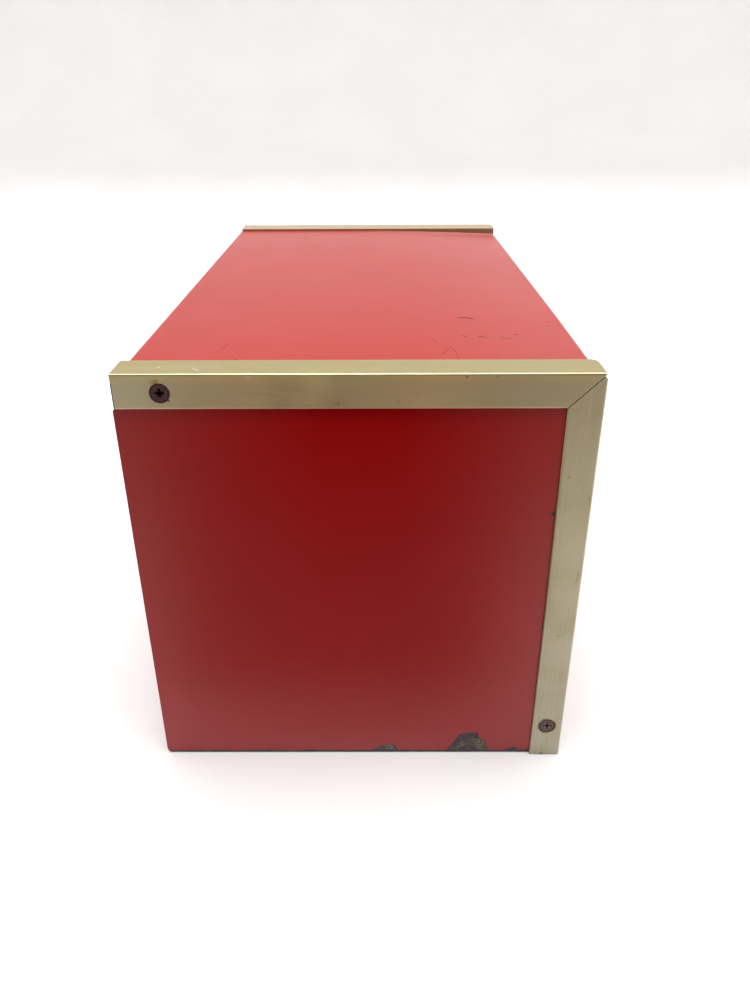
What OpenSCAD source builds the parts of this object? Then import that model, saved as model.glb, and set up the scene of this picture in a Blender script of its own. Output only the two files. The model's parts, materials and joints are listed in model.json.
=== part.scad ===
// Countertop book drop box: a sheet-steel case with a deposit slot and flap at its front end (+Y)
// and an overlapping, lockable emptying door at its rear end (-Y). All sizes in millimetres.

/* [Case] */
// Overall width, across the door and its side trim
case_w = 204.5; // [195:0.1:230]
// Overall height, from the table to the top of the door trim
case_h = 208; // [204:0.5:225]
// Overall depth, from the door trim's face to the front trim's face
case_d = 372; // [340:1:420]
// Thickness of the painted steel sheet
sheet_t = 1.2; // [1:0.1:1.4]
// Outside radius of the sheet's folds
fold_r = 2; // [1.8:0.1:3]
// Width of the return flanges round the door opening
flange_w = 12; // [11:0.5:14]

/* [Angle trim] */
// Leg that lies on an end face
trim_face = 15.3; // [13:0.1:16]
// Leg that wraps onto the top or the side
trim_wrap = 18.5; // [15:0.5:20]
// Wall thickness of the angle
trim_t = 1.6; // [1.4:0.1:1.8]
// Diameter of the flat screw heads
head_d = 8.6; // [7:0.1:8.8]

/* [Door] */
// Gap between the door's bottom edge and the table
door_clear = 0.8; // [0.5:0.1:1.5]
// Gap between the door trim's side leg and the case
side_gap = 0.5; // [0.5:0.1:1.5]
// Outside radius of the hinge knuckles
knuckle_r = 2; // [1.8:0.1:2.2]
// Number of hinge knuckles
knuckle_n = 9; // [5:2:11]

/* [Deposit slot] */
// Width of the slot
slot_w = 150; // [130:1:150]
// Height of the slot
slot_h = 42; // [34:1:42]
// Height of the slot's middle above the table
slot_z = 157; // [150:1:158]
// Drop of the chute per millimetre inwards
chute_slope = 0.35; // [0.3:0.01:0.4]

/* [Hidden] */
half_w = case_w / 2;
y_near = -case_d / 2;
y_far = case_d / 2;
fit = 0.05;                                    // working clearance between fitted pieces
free_gap = 0.3;                                // clearance between pieces that pass each other
smooth = 64;

body_half = half_w - trim_t - side_gap;        // half width of the case outside
body_in = body_half - sheet_t;                 // half width of the case inside
body_top = case_h - trim_t - free_gap;         // top of the case, just under the door trim
door_face = y_near + trim_t;
door_back = door_face + sheet_t;
hinge_x = -half_w + knuckle_r;
hinge_y = door_back + knuckle_r + fit;
body_y = hinge_y + knuckle_r + fit;            // rear face of the case's return flanges
front_face = y_far - trim_t;
front_back = front_face - sheet_t;

trim_r = 1;                                    // outer corner of the angle
tip_r = 0.6;                                   // tips of its legs
mitre_gap = 0.3;
trim_left = -half_w + 1.2;                     // left end of the door's top trim
front_trim_left = -body_half + 1.2;            // left end of the front's top trim
front_trim_top = body_top + trim_t;
front_trim_x = body_half - 0.5;                // right end of the front trims
front_strip_w = 13;                            // the front's upright trim, a flat strip
worn_r = 4;                                    // rounded-off end of the door's top leg
nick = 3;                                      // bent-away tip of the door's side trim

shank_d = 4;
screw_len = 5.9;
sink = 0.1;                                    // depth of the screw heads below the trim
nut_t = 2.7;
nut_af = 7;
screw_inset_x = 21;                            // top trim screw, from the left edge
screw_inset_z = 8.3;                            // top trim screw, below the trim's top
side_screw_z = 19.5;
door_side_screw_x = half_w - trim_face / 2;
front_side_screw_x = front_trim_x - front_strip_w / 2;

hinge_z0 = 12;
hinge_len = 171;
knuckle_len = hinge_len / knuckle_n;
leaf_t = 1;
leaf_w = 12;
pin_r = 1;

lock_y = body_y + 24.2;
lock_z = 112;
barrel_r = 6.3;
barrel_len = 16;
bezel_r = 9;
bezel_t = 2;
plug_r = 4.2;
plug_head_r = 5.2;
plug_head_t = 1.2;
cam_len = 20;
cam_w = 9;
cam_t = 2;
cam_x = body_half - barrel_len - 2.6;
tenon = 5;                                     // square end of the plug, which drives the cam
keeper_t = 1.5;
keeper_x = cam_x - 9;
keeper_z0 = lock_z - cam_len + 0.5;
keeper_h = 10.5;
keeper_y1 = lock_y + cam_w / 2 + 0.4 + keeper_t;

rod_r = 2;
rod_y = front_back - 3.6;
rod_z = slot_z + 33;
curl_r = 3.4;
flap_half = slot_w / 2 + 8;
flap_drop = 60;
flap_lip = 6;
flap_y = rod_y - curl_r + fit;                 // back face of the flap's plate
ear_x = flap_half + 3;
ear_r = 4.5;
bumper_r = 4;

bezel_w = slot_w + 18;
bezel_h = slot_h + 18;
bezel_screw_x = bezel_w / 2 - 4.5;
bezel_screw_z = bezel_h / 2 - 4.5;

chute_top = rod_z - flap_drop - 4;
chute_run = 97;
chute_end_y = front_back - chute_run;
chute_half = body_in - 0.2;
chute_skin = sheet_t / cos(atan(chute_slope));  // the sloping sheet's height, measured upright
chute_flange = 12;
chute_lip = 8;

mat_t = 4.5;
mat_rib = 1.5;
mat_pitch = 8;
pan_half = body_in - 0.1;
pan_flange = 15;
rivet_r = 3.2;
rivet_body_r = 1.6;

red = "firebrick";
gold = "darkkhaki";
rust = "saddlebrown";
zinc = "silver";
black = "dimgray";

// ---------- Shared shapes ----------

// What rounding takes off a corner at the origin of a shape in the +X+Y quadrant.
module corner_cut(r) {
    difference() {
        translate([-1, -1]) square(r + 1);
        translate([r, r]) circle(r = r, $fn = smooth);
    }
}

// Rectangle centred on X, standing on y = 0, with its top corners rounded.
module arch(half, height, r) {
    translate([-half, 0]) square([2 * half, height - r]);
    translate([r - half, 0]) square([2 * (half - r), height]);
    for (s = [-1, 1]) translate([s * (half - r), height - r]) circle(r = r, $fn = smooth);
}

// Centred rectangle with rounded corners.
module round_rect(w, h, r) {
    square([w - 2 * r, h], center = true);
    square([w, h - 2 * r], center = true);
    for (sx = [-1, 1], sy = [-1, 1])
        translate([sx * (w / 2 - r), sy * (h / 2 - r)]) circle(r = r, $fn = smooth);
}

// Extrudes an XZ outline from y0 to y1.
module along_y(y0, y1) {
    translate([0, y1, 0]) rotate([90, 0, 0]) linear_extrude(y1 - y0) children();
}

// Extrudes a YZ outline from x0 to x1.
module along_x(x0, x1) {
    translate([x0, 0, 0]) rotate([90, 0, 90]) linear_extrude(x1 - x0) children();
}

// Extruded angle, standing up with its outer corner on the Z axis.
module angle_trim(length) {
    linear_extrude(length) difference() {
        union() {
            square([trim_face, trim_t]);
            square([trim_t, trim_wrap]);
        }
        corner_cut(trim_r);
        translate([trim_face, 0]) mirror([1, 0]) corner_cut(tip_r);
        translate([0, trim_wrap]) mirror([0, 1]) corner_cut(tip_r);
    }
}

// Half space on one side of a 45 degree mitre through the corner (x, z): side 1 is above it.
module mitre_half(x, z, side) {
    reach = 60;
    translate([x, 0, z]) rotate([0, -45, 0])
        translate([-reach, -case_d, side > 0 ? -mitre_gap / 2 : -reach])
            cube([2 * reach, 2 * case_d, reach + mitre_gap / 2]);
}

// Flat-head screw along +Y, its head's face sunk just below y = 0.
module flat_screw(d, hd, length) {
    cone = (hd - d) / 2;
    translate([0, sink, 0]) difference() {
        rotate([-90, 0, 0]) union() {
            cylinder(h = cone, d1 = hd, d2 = d, $fn = smooth);
            cylinder(h = length, d = d, $fn = smooth);
        }
        for (a = [0, 90]) rotate([0, a, 0])
            cube([hd * 0.5, cone * 1.5, hd * 0.11], center = true);
        rotate([-90, 0, 0]) cylinder(h = cone, d1 = hd * 0.27, d2 = hd * 0.12, $fn = smooth);
    }
}

// Countersunk hole that the sunk flat-head screw fits, along +Y.
module screw_hole(d, hd) {
    cone = (hd - d) / 2;
    rotate([-90, 0, 0]) {
        translate([0, 0, -1]) cylinder(h = 1 + sink, d = hd + 2 * fit, $fn = smooth);
        translate([0, 0, sink]) cylinder(h = cone, d1 = hd + 2 * fit, d2 = d + 2 * fit, $fn = smooth);
        cylinder(h = 12, d = d + 2 * fit, $fn = smooth);
    }
}

// Hexagon nut along +Y, with a clearance bore.
module hex_nut(d, af, t) {
    rotate([-90, 0, 0]) difference() {
        cylinder(h = t, d = af / cos(30), $fn = 6);
        translate([0, 0, -1]) cylinder(h = t + 2, d = d + 2 * fit, $fn = smooth);
    }
}

// Domed blind rivet along +X: the head's underside is at x = 0 and the body reaches inwards.
module rivet(grip) {
    rotate([0, 90, 0]) {
        difference() {
            intersection() {
                cylinder(h = 1.1, r = rivet_r, $fn = smooth);
                translate([0, 0, -4.6]) sphere(r = 5.7, $fn = smooth);
            }
            translate([0, 0, 0.5]) cylinder(h = 2, r = 0.9, $fn = smooth);
        }
        translate([0, 0, -grip]) cylinder(h = grip, r = rivet_body_r, $fn = smooth);
        translate([0, 0, -grip - 1.4]) cylinder(h = 1.4, r1 = rivet_body_r, r2 = 2.4, $fn = smooth);
    }
}

module rivet_hole(depth) {
    rotate([0, 90, 0]) translate([0, 0, -depth])
        cylinder(h = depth + 1, r = rivet_body_r + fit, $fn = smooth);
}

// ---------- Places of repeated fasteners ----------

module at_door_screws() {
    translate([screw_inset_x - half_w, y_near, case_h - screw_inset_z]) children();
    translate([door_side_screw_x, y_near, side_screw_z]) children();
}

module at_front_screws() {
    translate([screw_inset_x - half_w, y_far, front_trim_top - screw_inset_z]) mirror([0, 1, 0]) children();
    translate([front_side_screw_x, y_far, side_screw_z]) mirror([0, 1, 0]) children();
}

module at_bezel_screws() {
    for (sx = [-1, 1], sz = [-1, 1])
        translate([sx * bezel_screw_x, y_far, slot_z + sz * bezel_screw_z]) mirror([0, 1, 0]) children();
}

base_rivet_ys = [for (i = [-1:1]) i * (case_d / 2 - 40)];

module at_base_rivets() {
    for (s = [0, 1], y = base_rivet_ys) mirror([s, 0, 0]) translate([body_half, y, 9]) children();
}

// Height of the chute's upper face at depth y.
function chute_z(y) = chute_top - (front_back - y) * chute_slope;

module at_chute_rivets() {
    for (s = [0, 1], t = [0.2, 0.8]) mirror([s, 0, 0])
        translate([body_half, front_back - t * chute_run, chute_z(front_back - t * chute_run) - 6]) children();
}

// ---------- Case ----------

module body_wrapper() {
    color(red) difference() {
        union() {
            along_y(body_y, front_back) difference() {
                arch(body_half, body_top, fold_r);
                translate([0, -1]) arch(body_in, body_top - sheet_t + 1, fold_r - sheet_t);
            }
            along_y(body_y, body_y + sheet_t) difference() {
                arch(body_half, body_top, fold_r);
                translate([flange_w - body_half, -1])
                    square([2 * (body_half - flange_w), body_top - flange_w + 1]);
            }
        }
        translate([body_half - 5, lock_y, lock_z]) rotate([0, 90, 0])
            cylinder(h = 10, r = barrel_r + fit, $fn = smooth);
        at_base_rivets() rivet_hole(6);
        at_chute_rivets() rivet_hole(6);
    }
}

module base_pan() {
    rear_half = body_half - flange_w - 0.1;
    color(red) difference() {
        union() {
            translate([-pan_half, body_y + sheet_t + 0.1, 0])
                cube([2 * pan_half, front_back - body_y - sheet_t - 0.1, sheet_t]);
            translate([-rear_half, body_y, 0]) cube([2 * rear_half, 4, sheet_t]);
            translate([-rear_half, body_y, 0]) cube([2 * rear_half, sheet_t, flange_w]);
            for (s = [0, 1]) mirror([s, 0, 0])
                translate([pan_half - sheet_t, body_y + 6, 0])
                    cube([sheet_t, front_back - body_y - 20, pan_flange]);
        }
        at_base_rivets() rivet_hole(6);
    }
}

module front_panel() {
    depth = 10;
    hole_gap = 0.5;
    color(red) difference() {
        union() {
            along_y(front_back, front_face) arch(body_half, body_top, fold_r);
            for (s = [0, 1]) mirror([s, 0, 0])
                translate([pan_half - sheet_t, front_back - depth, 4])
                    cube([sheet_t, depth + 0.5, body_top - 12]);
            translate([4 - pan_half, front_back - depth, body_top - 2 * sheet_t - 0.1])
                cube([2 * pan_half - 8, depth + 0.5, sheet_t]);
            translate([4 - pan_half, front_back - depth, sheet_t + 0.1])
                cube([2 * pan_half - 8, depth + 0.5, sheet_t]);
        }
        along_y(front_back - 1, front_face + 1)
            translate([0, slot_z]) round_rect(slot_w + 2 * hole_gap, slot_h + 2 * hole_gap, 2.5);
        translate([-case_w, front_back - depth - 1, chute_top - chute_flange - 4])
            cube([2 * case_w, depth + 1, chute_flange + 6]);
        at_front_screws() screw_hole(shank_d, head_d);
        at_bezel_screws() screw_hole(3, 5.6);
    }
}

module front_top_trim() {
    color(gold) difference() {
        translate([front_trim_left, y_far, front_trim_top]) mirror([0, 1, 0]) rotate([0, 90, 0])
            angle_trim(front_trim_x - front_trim_left);
        at_front_screws() screw_hole(shank_d, head_d);
    }
}

// Flat strip up to the top trim.
module front_side_trim() {
    color(gold) difference() {
        translate([front_trim_x, y_far, 0.5]) mirror([0, 1, 0]) mirror([1, 0, 0])
            linear_extrude(front_trim_top - trim_face - mitre_gap - 0.5) difference() {
                square([front_strip_w, trim_t]);
                corner_cut(tip_r);
                translate([front_strip_w, 0]) mirror([1, 0]) corner_cut(tip_r);
            }
        at_front_screws() screw_hole(shank_d, head_d);
    }
}

module front_trim_screws() {
    color(rust) at_front_screws() flat_screw(shank_d, head_d, screw_len);
}

module front_trim_nuts() {
    color(zinc) at_front_screws() translate([0, trim_t + sheet_t, 0]) hex_nut(shank_d, nut_af, nut_t);
}

module slot_bezel() {
    color(gold) difference() {
        along_y(front_face, y_far) translate([0, slot_z]) difference() {
            round_rect(bezel_w, bezel_h, 5);
            round_rect(slot_w, slot_h, 2);
        }
        at_bezel_screws() screw_hole(3, 5.6);
    }
}

module bezel_screws() color(rust) at_bezel_screws() flat_screw(3, 5.6, 5.4);

module bezel_nuts() color(zinc) at_bezel_screws() translate([0, trim_t + sheet_t, 0]) hex_nut(3, 5.5, 2.2);

// ---------- Deposit flap ----------

module flap_brackets() {
    foot_z = rod_z - 16;
    color(zinc) for (s = [0, 1]) mirror([s, 0, 0]) difference() {
        union() {
            along_x(ear_x, ear_x + sheet_t) intersection() {
                union() {
                    translate([rod_y, rod_z]) circle(r = ear_r, $fn = smooth);
                    translate([rod_y - ear_r, foot_z]) square([2 * ear_r, rod_z - foot_z]);
                }
                translate([rod_y - 2 * ear_r, foot_z]) square([front_back - rod_y + 2 * ear_r, 30]);
            }
            translate([ear_x, front_back - sheet_t, foot_z]) cube([4.5, sheet_t, 10]);
        }
        translate([ear_x - 1, rod_y, rod_z]) rotate([0, 90, 0])
            cylinder(h = 4, r = rod_r + fit, $fn = smooth);
    }
}

module flap_rod() {
    color(zinc) translate([-ear_x - 4, rod_y, rod_z]) rotate([0, 90, 0])
        cylinder(h = 2 * (ear_x + 4), r = rod_r, $fn = smooth);
}

module rod_retainers() {
    color(zinc) for (s = [0, 1]) mirror([s, 0, 0])
        translate([ear_x + sheet_t + 0.2, rod_y, rod_z]) rotate([0, 90, 0]) difference() {
            union() {
                cylinder(h = 0.5, r = 3.3, $fn = smooth);
                translate([0, 0, 0.5]) cylinder(h = 1, r1 = 3.3, r2 = 2.7, $fn = smooth);
            }
            translate([0, 0, -1]) cylinder(h = 4, r = rod_r + fit, $fn = smooth);
        }
}

module flap_bumpers() {
    gap = 0.2;
    height = front_back - flap_y - sheet_t - gap;
    color(black) for (s = [-1, 1])
        translate([s * (slot_w / 2 + bumper_r + 0.8), front_back, slot_z - 14]) rotate([90, 0, 0]) {
            cylinder(h = height - 1, r = bumper_r, $fn = smooth);
            translate([0, 0, height - 1]) cylinder(h = 1, r1 = bumper_r, r2 = bumper_r - 1, $fn = smooth);
        }
}

module deposit_flap() {
    color(red) difference() {
        union() {
            translate([-flap_half, rod_y, rod_z]) rotate([0, 90, 0])
                cylinder(h = 2 * flap_half, r = curl_r, $fn = smooth);
            translate([-flap_half, flap_y, rod_z - flap_drop]) cube([2 * flap_half, sheet_t, flap_drop]);
            translate([-flap_half, flap_y + sheet_t - flap_lip, rod_z - flap_drop])
                cube([2 * flap_half, flap_lip, sheet_t]);
        }
        translate([-case_w, rod_y, rod_z]) rotate([0, 90, 0])
            cylinder(h = 2 * case_w, r = rod_r + fit, $fn = smooth);
    }
}

// ---------- Inside ----------

module chute() {
    front_y = front_back - sheet_t;
    end_y = chute_end_y + sheet_t;
    color(zinc) difference() {
        union() {
            along_x(-chute_half, chute_half) polygon([
                [front_back, chute_top],
                [front_back, chute_top - chute_flange],
                [front_y, chute_top - chute_flange],
                [front_y, chute_z(front_y) - chute_skin],
                [end_y, chute_z(end_y) - chute_skin],
                [end_y, chute_z(chute_end_y) - chute_lip],
                [chute_end_y, chute_z(chute_end_y) - chute_lip],
                [chute_end_y, chute_z(chute_end_y)]
            ]);
            for (s = [0, 1]) mirror([s, 0, 0]) along_x(chute_half - sheet_t, chute_half) polygon([
                [front_y + 0.2, chute_z(front_y) - 0.2],
                [front_y + 0.2, chute_top - chute_flange],
                [end_y - 0.2, chute_z(chute_end_y) - chute_lip],
                [end_y - 0.2, chute_z(end_y) - 0.2]
            ]);
        }
        at_chute_rivets() rivet_hole(6);
    }
}

module chute_rivets() color(zinc) at_chute_rivets() rivet(2 * sheet_t + 0.3);

module base_rivets() color(zinc) at_base_rivets() rivet(2 * sheet_t + 0.2);

module floor_mat() {
    half = pan_half - 3;
    y0 = body_y + 4;
    y1 = front_back - 12;
    color(black) translate([0, 0, sheet_t + 0.02]) {
        translate([-half, y0, 0]) cube([2 * half, y1 - y0, mat_t - mat_rib]);
        for (x = [mat_pitch / 2 - half:mat_pitch:half - mat_pitch / 2])
            translate([x - mat_pitch / 4, y0, 0]) cube([mat_pitch / 2, y1 - y0, mat_t]);
    }
}

// ---------- Hinge ----------

module hinge_leaf(parity, plate_y) {
    gap = 0.3;
    color(zinc) difference() {
        union() {
            translate([hinge_x, plate_y, hinge_z0]) cube([leaf_w, leaf_t, hinge_len]);
            for (i = [parity:2:knuckle_n - 1])
                translate([hinge_x, hinge_y, hinge_z0 + i * knuckle_len + gap / 2])
                    cylinder(h = knuckle_len - gap, r = knuckle_r, $fn = smooth);
        }
        for (i = [1 - parity:2:knuckle_n - 1])
            translate([hinge_x - knuckle_r - 1, hinge_y - 4, hinge_z0 + i * knuckle_len - gap / 2])
                cube([2 * knuckle_r + 1.4, 8, knuckle_len + gap]);
        translate([hinge_x, hinge_y, 0]) cylinder(h = case_h, r = pin_r + fit, $fn = smooth);
    }
}

module hinge_leaf_case() hinge_leaf(1, body_y - leaf_t);

module hinge_leaf_door() hinge_leaf(0, door_back);

module hinge_pin() {
    color(zinc) translate([hinge_x, hinge_y, hinge_z0 - 1]) {
        cylinder(h = hinge_len + 2, r = pin_r, $fn = smooth);
        for (z = [0, hinge_len + 1.4]) translate([0, 0, z]) cylinder(h = 0.6, r = 1.5, $fn = smooth);
    }
}

// ---------- Door ----------

module door_panel() {
    right = half_w - trim_t;
    top = case_h - trim_t;
    r = 2;
    color(red) difference() {
        along_y(door_face, door_back) difference() {
            translate([-half_w, door_clear]) square([half_w + right, top - door_clear]);
            translate([-half_w, door_clear]) corner_cut(r);
            translate([-half_w - 1, case_h - trim_face - 0.6]) square([2, trim_face + 1]);
            translate([-half_w, case_h - trim_face - 0.6]) mirror([0, 1]) corner_cut(1);
        }
        at_door_screws() screw_hole(shank_d, head_d);
    }
}

module door_top_trim() {
    y_back = y_near + trim_wrap;
    color(gold) difference() {
        translate([trim_left, y_near, case_h]) rotate([0, 90, 0]) angle_trim(half_w - trim_left);
        mitre_half(half_w, case_h, -1);
        translate([half_w - 0.9, y_near - 1, 0]) cube([5, 2 * trim_wrap, case_h + 1]);
        translate([half_w - 0.9, y_back, case_h - 5]) rotate(180) linear_extrude(10) corner_cut(worn_r);
        translate([trim_left, y_back, case_h - 5]) mirror([0, 1, 0]) linear_extrude(10) corner_cut(1.5);
        at_door_screws() screw_hole(shank_d, head_d);
    }
}

module door_side_trim() {
    color(gold) difference() {
        translate([half_w, y_near, door_clear - 0.5]) mirror([1, 0, 0]) angle_trim(case_h - door_clear + 0.5);
        mitre_half(half_w, case_h, 1);
        translate([half_w, 0, case_h]) rotate([0, 45, 0])
            cube([nick * sqrt(2), 2 * case_d, nick * sqrt(2)], center = true);
        at_door_screws() screw_hole(shank_d, head_d);
    }
}

module door_trim_screws() {
    color(rust) at_door_screws() flat_screw(shank_d, head_d, screw_len);
}

module door_trim_nuts() {
    color(zinc) at_door_screws() translate([0, trim_t + sheet_t, 0]) hex_nut(shank_d, nut_af, nut_t);
}

module door_bumpers() {
    gap = 0.25;
    height = body_y - door_back - gap;
    color(black) for (z = [48, 165])
        translate([body_half - flange_w / 2, body_y, z]) rotate([90, 0, 0]) {
            cylinder(h = height - 0.8, r = bumper_r, $fn = smooth);
            translate([0, 0, height - 0.8]) cylinder(h = 0.8, r1 = bumper_r, r2 = bumper_r - 0.8, $fn = smooth);
        }
}

module lock_keeper() {
    foot = 12;
    color(zinc) translate([keeper_x, 0, keeper_z0]) {
        translate([0, door_back, 0]) cube([keeper_t, keeper_y1 - door_back, keeper_h]);
        translate([-foot, door_back, 0]) cube([foot + 0.5, keeper_t, keeper_h]);
        translate([0, keeper_y1 - keeper_t, 0]) cube([cam_x + cam_t + 0.2 - keeper_x, keeper_t, keeper_h]);
    }
}

// ---------- Lock ----------

module lock_barrel() {
    color(zinc) translate([body_half, lock_y, lock_z]) rotate([0, 90, 0]) difference() {
        union() {
            cylinder(h = bezel_t - 0.8, r = bezel_r, $fn = smooth);
            translate([0, 0, bezel_t - 0.8]) cylinder(h = 0.8, r1 = bezel_r, r2 = bezel_r - 1.2, $fn = smooth);
            translate([0, 0, -barrel_len]) cylinder(h = barrel_len, r = barrel_r, $fn = smooth);
        }
        translate([0, 0, -barrel_len - 1]) cylinder(h = 40, r = plug_r + fit, $fn = smooth);
        translate([0, 0, bezel_t - plug_head_t - 0.4]) cylinder(h = 10, r = plug_head_r + fit, $fn = smooth);
    }
}

module lock_nut() {
    color(zinc) translate([body_in - 3.1, lock_y, lock_z]) rotate([0, 90, 0]) difference() {
        cylinder(h = 3, d = 17 / cos(30), $fn = 6);
        translate([0, 0, -1]) cylinder(h = 6, r = barrel_r + fit, $fn = smooth);
    }
}

module lock_plug() {
    inner = -barrel_len - 0.4;
    color(zinc) translate([body_half, lock_y, lock_z]) rotate([0, 90, 0]) difference() {
        union() {
            translate([0, 0, inner]) cylinder(h = bezel_t - 0.3 - inner, r = plug_r, $fn = smooth);
            translate([0, 0, bezel_t - plug_head_t - 0.3]) cylinder(h = plug_head_t, r = plug_head_r, $fn = smooth);
            translate([-tenon / 2, -tenon / 2, inner - cam_t - 0.1]) cube([tenon, tenon, cam_t + 1]);
        }
        translate([-3, -0.6, bezel_t - 9]) cube([6, 1.2, 12]);
        translate([-1.2, -0.3, bezel_t - 9]) cube([4.2, 1.5, 12]);
        translate([0, 0, inner - cam_t - 1]) cylinder(h = 10, r = 1.5 + fit, $fn = smooth);
    }
}

module lock_cam() {
    hub_r = 6;
    color(zinc) translate([0, lock_y, lock_z]) along_x(cam_x, cam_x + cam_t) difference() {
        union() {
            circle(r = hub_r, $fn = smooth);
            translate([cam_w / 2 - cam_len, 0]) circle(r = cam_w / 2, $fn = smooth);
            translate([cam_w / 2 - cam_len, -cam_w / 2]) square([cam_len - cam_w / 2, cam_w]);
        }
        square(tenon + 2 * fit, center = true);
    }
}

module cam_screw() {
    color(zinc) translate([cam_x, lock_y, lock_z]) rotate([0, 90, 0]) {
        difference() {
            translate([0, 0, -2.3]) cylinder(h = 2.2, r1 = 3.2, r2 = 3.6, $fn = smooth);
            for (a = [0, 90]) rotate(a) cube([4, 0.8, 7], center = true);
        }
        translate([0, 0, -1]) cylinder(h = 8, r = 1.5, $fn = smooth);
    }
}

body_wrapper();
base_pan();
front_panel();
front_top_trim();
front_side_trim();
front_trim_screws();
front_trim_nuts();
slot_bezel();
bezel_screws();
bezel_nuts();
flap_brackets();
flap_rod();
rod_retainers();
flap_bumpers();
chute();
chute_rivets();
base_rivets();
floor_mat();
hinge_leaf_case();
hinge_pin();
door_bumpers();
lock_barrel();
lock_nut();
door_panel();
door_top_trim();
door_side_trim();
door_trim_screws();
door_trim_nuts();
hinge_leaf_door();
lock_keeper();
deposit_flap();
lock_plug();
lock_cam();
cam_screw();
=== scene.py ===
"""Looks of the countertop book drop box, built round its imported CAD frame.

Everything is in metres in the frame's axes: +X to the right seen from the emptying door, +Y from the
door towards the deposit slot, +Z up from the table.
"""
import json
import math

import bmesh
import bpy
from mathutils import Matrix, Vector


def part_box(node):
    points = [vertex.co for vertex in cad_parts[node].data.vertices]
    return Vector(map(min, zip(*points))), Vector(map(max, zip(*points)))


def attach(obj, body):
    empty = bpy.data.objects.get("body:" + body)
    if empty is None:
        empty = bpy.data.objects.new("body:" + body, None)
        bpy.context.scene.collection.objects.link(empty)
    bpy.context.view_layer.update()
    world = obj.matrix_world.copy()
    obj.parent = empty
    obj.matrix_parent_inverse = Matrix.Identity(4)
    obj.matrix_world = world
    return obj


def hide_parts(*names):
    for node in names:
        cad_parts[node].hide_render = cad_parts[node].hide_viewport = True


MM = 0.001
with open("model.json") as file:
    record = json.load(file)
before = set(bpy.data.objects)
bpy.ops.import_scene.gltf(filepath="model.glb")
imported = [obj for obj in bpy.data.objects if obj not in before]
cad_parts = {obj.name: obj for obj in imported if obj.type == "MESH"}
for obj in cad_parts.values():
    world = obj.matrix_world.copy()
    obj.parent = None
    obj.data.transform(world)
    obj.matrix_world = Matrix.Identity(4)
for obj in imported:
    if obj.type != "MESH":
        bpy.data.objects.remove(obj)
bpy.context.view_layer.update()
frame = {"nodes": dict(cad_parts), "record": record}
record = frame["record"]
BODY_OF = {node: body for body, nodes in record["behaviour"]["bodies"].items() for node in nodes}
SLOT_OF = {part["node"]: part["material_slot"] for part in record["subparts"]}

# Faces and edges of the box that the looks are placed by
DOOR_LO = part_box("door_panel")[0]
CASE_LO, CASE_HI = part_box("body_wrapper")
TOP_TRIM_LO, TOP_TRIM_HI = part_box("door_top_trim")
SIDE_TRIM_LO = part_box("door_side_trim")[0]
SCREWS_LO, SCREWS_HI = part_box("door_trim_screws")
HEAD_R = 4.3 * MM
TOP_SCREW = Vector((SCREWS_LO.x + HEAD_R, SCREWS_LO.y, SCREWS_HI.z - HEAD_R))
SIDE_SCREW = Vector((SCREWS_HI.x - HEAD_R, SCREWS_LO.y, SCREWS_LO.z + HEAD_R))

WELD_GAP = 0.002 * MM                   # vertices closer than this are one
FLAT_ANGLE = math.radians(0.6)          # facets closer to level than this are one face
SHARP_ANGLE = math.radians(40)          # edges sharper than this are rounded
UNTOUCHED = (1.0, 1.0, 1.0, 1.0)        # what a tint multiplies by to change nothing


# ---------- Node building ----------

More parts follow.
